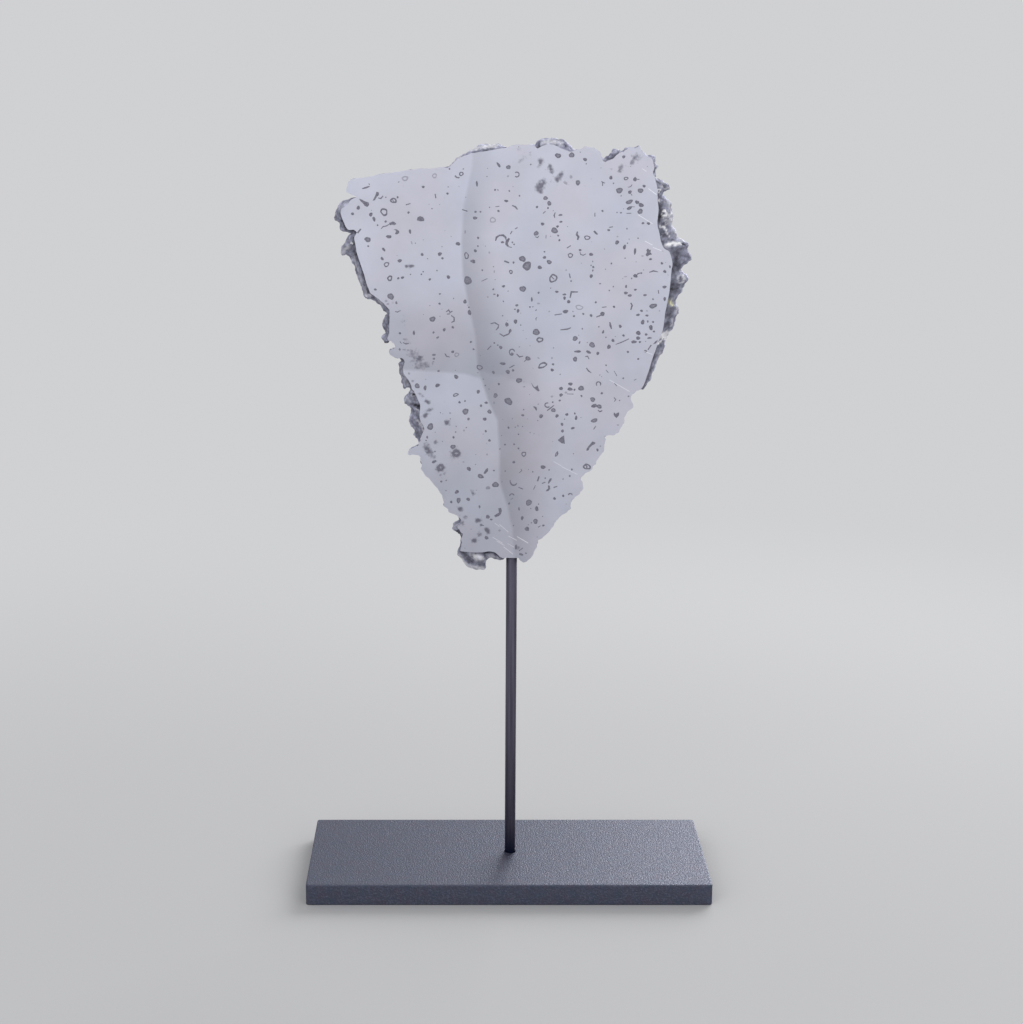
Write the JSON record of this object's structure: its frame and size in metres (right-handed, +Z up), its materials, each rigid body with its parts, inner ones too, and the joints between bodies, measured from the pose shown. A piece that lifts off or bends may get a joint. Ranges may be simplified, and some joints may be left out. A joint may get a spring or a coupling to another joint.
{
  "type": "iron meteorite slice on a stand",
  "caption": "Flat polished slice of an iron meteorite with a ragged natural rim, held upright by a rod on a rectangular base plate.",
  "frame": {"origin": "centre of the base plate's underside", "axes": "+Z up along the rod, +X to the right along the base plate's long side, the polished face looks to -Y"},
  "size_m": [0.178, 0.076, 0.3291],
  "materials": {
    "polished_iron": "polished pale iron with small dark inclusions, rough natural rim",
    "dark_rod": "satin dark metal",
    "coated_plate": "dark coating with a fine speckled texture"
  },
  "bodies": {
    "root": {"meteorite_slice": "polished_iron", "stand_rod": "dark_rod", "stand_base": "coated_plate"}
  },
  "joints": []
}
